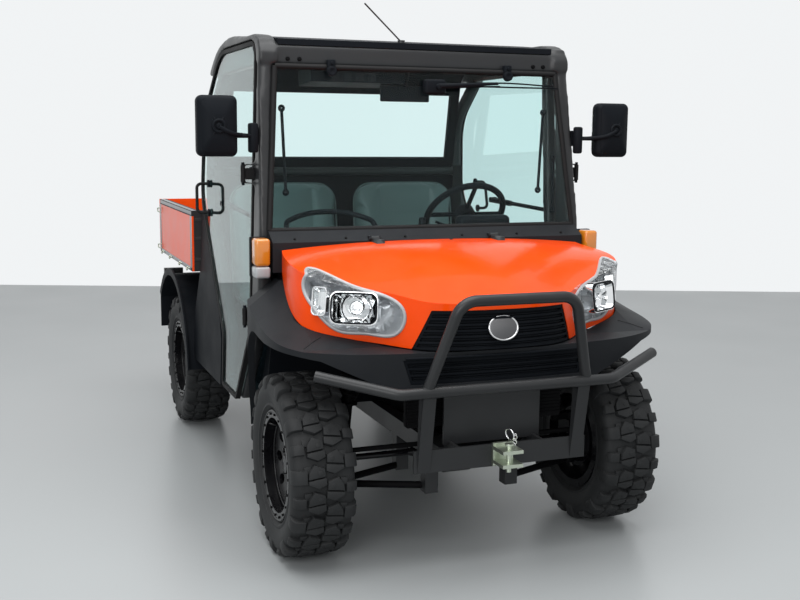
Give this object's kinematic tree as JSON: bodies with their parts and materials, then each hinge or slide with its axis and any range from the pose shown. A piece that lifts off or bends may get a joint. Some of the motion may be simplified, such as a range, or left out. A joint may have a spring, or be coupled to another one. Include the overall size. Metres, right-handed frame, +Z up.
{
  "type": "side by side utv",
  "caption": "Two-seat side by side utility vehicle with an enclosed cab, wraparound headlamps, front hoop bar, opening hood and doors, and a tilting cargo bed with tailgate.",
  "frame": {"origin": "on the ground, under the middle of the wheelbase, on the vehicle's centre plane", "axes": "+Z up, the front faces -Y, +X towards the vehicle's left side"},
  "size_m": [1.808, 3.12, 2.0007],
  "materials": {
    "tyre_rubber": "matt black rubber",
    "rim_black": "satin black paint",
    "cast_black": "black painted casting",
    "suspension_steel": "satin black paint",
    "engine_metal": "dull grey casting",
    "frame_black": "satin black powder coat",
    "door_glass": "green tinted glass",
    "clear_glass": "clear glass",
    "gasket_rubber": "matt black rubber",
    "black_plastic": "grained black plastic",
    "grey_plastic": "grained dark grey plastic",
    "seat_vinyl": "grey-green vinyl",
    "orange_gloss": "gloss orange",
    "orange_paint": "gloss orange paint",
    "lamp_lens": "clear polycarbonate",
    "zinc_steel": "zinc plated",
    "amber_lens": "amber over clear lens",
    "red_lens": "red lens",
    "bed_black": "dark grey textured paint",
    "bright_rod": "hard chrome"
  },
  "bodies": {
    "chassis": {"aerial": "frame_black", "bull_bar": "frame_black", "cab_frame": "frame_black", "cowl": "grey_plastic", "dashboard": "black_plastic", "drawbar": "frame_black", "engine_block": "engine_metal", "fascia": "grey_plastic", "floor_pan": "black_plastic", "frame": "frame_black", "front_axle": "cast_black", "front_suspension": "suspension_steel", "grille_lower": "black_plastic", "hitch_clevis": "zinc_steel", "mirrors": "black_plastic", "overhead_console": "black_plastic", "rear_axle": "cast_black", "rear_fenders": "black_plastic", "rear_suspension": "suspension_steel", "rear_wall": "black_plastic", "rear_window": "clear_glass", "roof": "black_plastic", "seat_backs": "seat_vinyl", "seat_base": "black_plastic", "seat_cushions": "seat_vinyl", "side_panels": "black_plastic", "skid_plate": "frame_black", "steering_column": "black_plastic", "tail_lamps": "red_lens", "turn_lamps": "amber_lens", "windshield": "clear_glass", "windshield_fittings": "black_plastic"},
    "knuckle_left": {"knuckle_left": "cast_black"},
    "knuckle_right": {"knuckle_right": "cast_black"},
    "wheel_fl": {"tyre_fl": "tyre_rubber", "rim_fl": "rim_black"},
    "wheel_fr": {"tyre_fr": "tyre_rubber", "rim_fr": "rim_black"},
    "wheel_rl": {"tyre_rl": "tyre_rubber", "rim_rl": "rim_black"},
    "wheel_rr": {"tyre_rr": "tyre_rubber", "rim_rr": "rim_black"},
    "steering": {"steering_wheel": "black_plastic"},
    "hood": {"hood": "orange_gloss", "headlights": "lamp_lens", "grille_upper": "black_plastic"},
    "door_left": {"door_glass_left": "door_glass", "door_fittings_left": "gasket_rubber"},
    "door_right": {"door_glass_right": "door_glass", "door_fittings_right": "gasket_rubber"},
    "bed": {"bed_tub": "bed_black", "bed_sides": "orange_paint"},
    "tailgate": {"tailgate": "orange_paint"},
    "lift_cylinder": {"lift_cylinder": "frame_black"},
    "lift_rod": {"lift_rod": "bright_rod"}
  },
  "joints": [
    {"name": "steer_left", "type": "hinge", "parent": "chassis", "child": "knuckle_left", "pos_m": [0.5, -1.005, 0.33], "axis": [0, 0, 1], "range_deg": [-30, 30]},
    {"name": "steer_right", "type": "hinge", "parent": "chassis", "child": "knuckle_right", "pos_m": [-0.5, -1.005, 0.33], "axis": [0, 0, 1], "range_deg": [-30, 30]},
    {"name": "steering_wheel_turn", "type": "hinge", "parent": "chassis", "child": "steering", "pos_m": [0.345, -0.3, 1.165], "axis": [0, 0.7431, 0.6691], "range_deg": [-360, 360]},
    {"name": "wheel_fl_spin", "type": "hinge", "parent": "knuckle_left", "child": "wheel_fl", "pos_m": [0.6026, -1.005, 0.33], "axis": [1, 0, 0], "continuous": true},
    {"name": "wheel_fr_spin", "type": "hinge", "parent": "knuckle_right", "child": "wheel_fr", "pos_m": [-0.6026, -1.005, 0.33], "axis": [1, 0, 0], "continuous": true},
    {"name": "wheel_rl_spin", "type": "hinge", "parent": "chassis", "child": "wheel_rl", "pos_m": [0.6026, 1.005, 0.33], "axis": [1, 0, 0], "continuous": true},
    {"name": "wheel_rr_spin", "type": "hinge", "parent": "chassis", "child": "wheel_rr", "pos_m": [-0.6026, 1.005, 0.33], "axis": [1, 0, 0], "continuous": true},
    {"name": "hood_hinge", "type": "hinge", "parent": "chassis", "child": "hood", "pos_m": [0, -0.8, 1.118], "axis": [-1, 0, 0], "range_deg": [0, 55]},
    {"name": "door_left_hinge", "type": "hinge", "parent": "chassis", "child": "door_left", "pos_m": [0.716, -0.62, 1.085], "axis": [0, 0, -1], "range_deg": [0, 75]},
    {"name": "door_right_hinge", "type": "hinge", "parent": "chassis", "child": "door_right", "pos_m": [-0.716, -0.62, 1.085], "axis": [0, 0, 1], "range_deg": [0, 75]},
    {"name": "bed_tilt", "type": "hinge", "parent": "chassis", "child": "bed", "pos_m": [0, 1.39, 0.826], "axis": [-1, 0, 0], "range_deg": [0, 45]},
    {"name": "tailgate_hinge", "type": "hinge", "parent": "bed", "child": "tailgate", "pos_m": [0, 1.487, 0.86], "axis": [-1, 0, 0], "range_deg": [0, 90]},
    {"name": "lift_pivot", "type": "hinge", "parent": "chassis", "child": "lift_cylinder", "pos_m": [0.245, 0.56, 0.486], "axis": [1, 0, 0], "range_deg": [0, 10]},
    {"name": "lift_stroke", "type": "slide", "parent": "lift_cylinder", "child": "lift_rod", "axis": [0, 0.8944, 0.4472], "range_m": [0, 0.11]}
  ],
  "couplings": [
    {"joint": "steer_right", "follows": "steer_left", "ratio": 1},
    {"joint": "steering_wheel_turn", "follows": "steer_left", "ratio": 12},
    {"joint": "lift_pivot", "follows": "bed_tilt", "ratio": 0.18},
    {"joint": "lift_stroke", "follows": "bed_tilt", "m_per_rad": 0.125}
  ]
}
